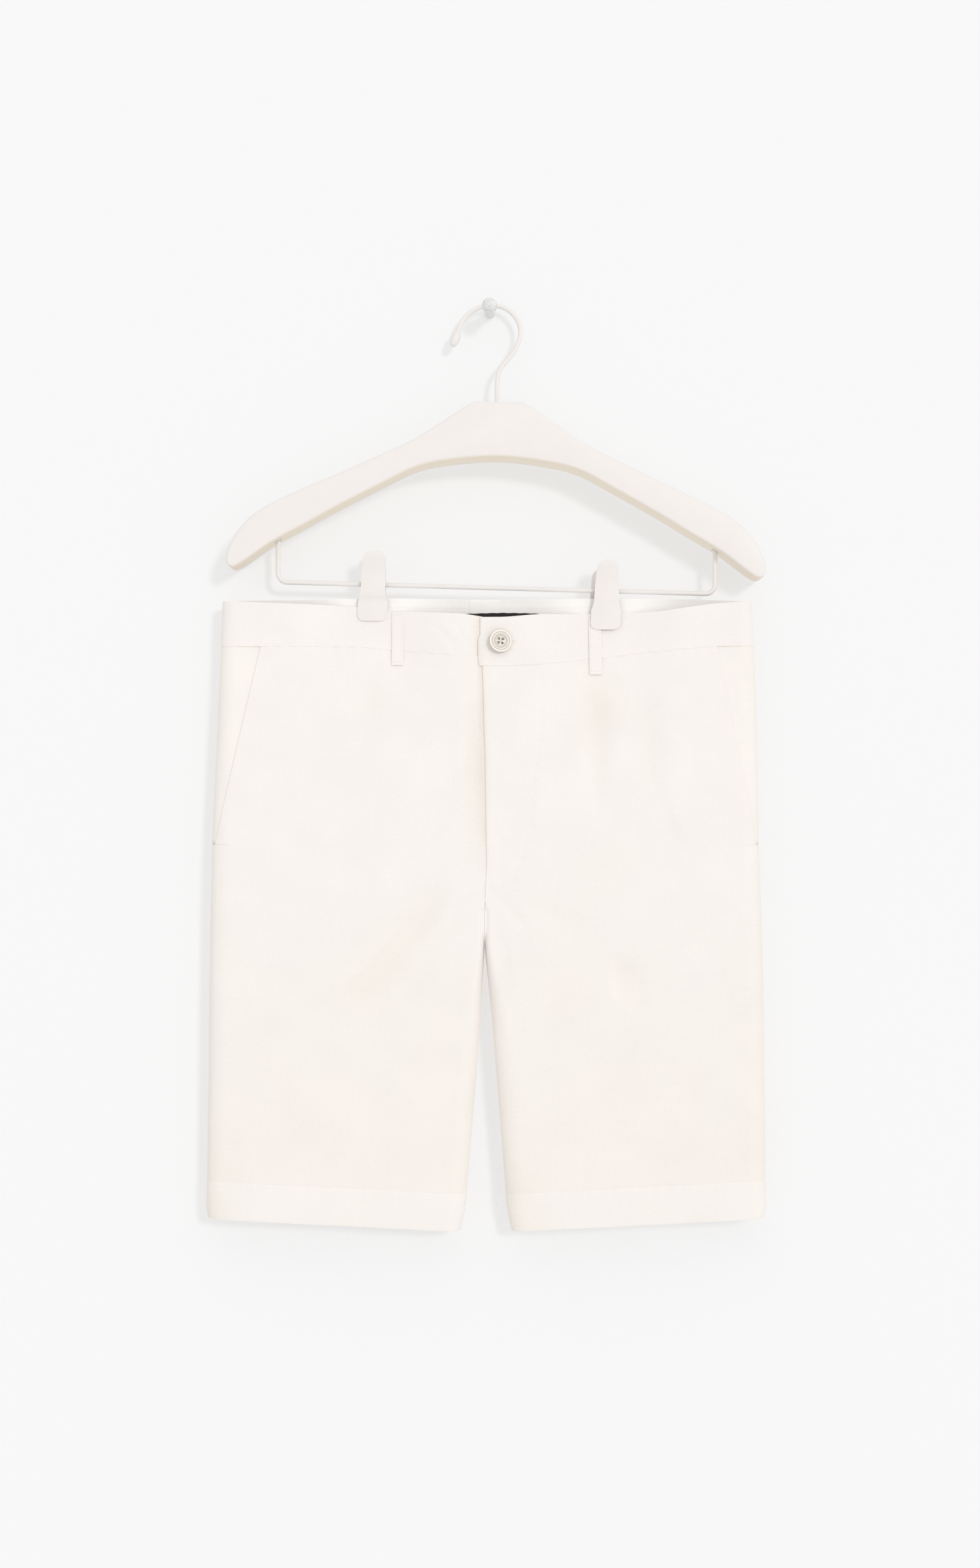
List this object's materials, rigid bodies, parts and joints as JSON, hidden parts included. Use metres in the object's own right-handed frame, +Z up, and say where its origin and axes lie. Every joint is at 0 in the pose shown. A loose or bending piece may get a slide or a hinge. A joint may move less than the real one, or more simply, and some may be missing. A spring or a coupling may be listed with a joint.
{
  "type": "bermuda shorts on a clip hanger",
  "caption": "Plain off-white bermuda shorts with a button waist, slant pockets and belt loops, hanging flat from a clip hanger on a wall knob.",
  "frame": {"origin": "centre of the wall knob's flat back face, on the wall", "axes": "+Z up, +Y into the wall and away from the front of the shorts, +X towards the wearer's left"},
  "size_m": [0.4699, 0.0415, 0.7825],
  "materials": {
    "cloth": "matt off-white woven cloth",
    "label": "plain black woven tape",
    "button": "horn-like with a cream rim",
    "thread": "cream sewing thread",
    "hanger_plastic": "warm ivory, satin",
    "hook_paint": "ivory painted wire",
    "knob": "pale grey, faintly pearly"
  },
  "bodies": {
    "root": {"front_right_panel": "cloth", "front_left_panel": "cloth", "back_right_panel": "cloth", "back_left_panel": "cloth", "waistband_front_right": "cloth", "waistband_front_left": "cloth", "waistband_back_right": "cloth", "waistband_back_left": "cloth", "belt_loop_front_right": "cloth", "belt_loop_front_left": "cloth", "belt_loop_back_right": "cloth", "belt_loop_back_centre": "cloth", "belt_loop_back_left": "cloth", "pocket_facing_right": "cloth", "pocket_facing_left": "cloth", "back_label": "label", "waist_button": "button", "button_thread": "thread", "hanger_body": "hanger_plastic", "trouser_bar": "hanger_plastic", "hanger_hook": "hook_paint", "clip_right_front": "hanger_plastic", "clip_right_back": "hanger_plastic", "clip_right_sleeve": "hanger_plastic", "clip_left_front": "hanger_plastic", "clip_left_back": "hanger_plastic", "clip_left_sleeve": "hanger_plastic", "wall_knob": "knob"}
  },
  "joints": []
}
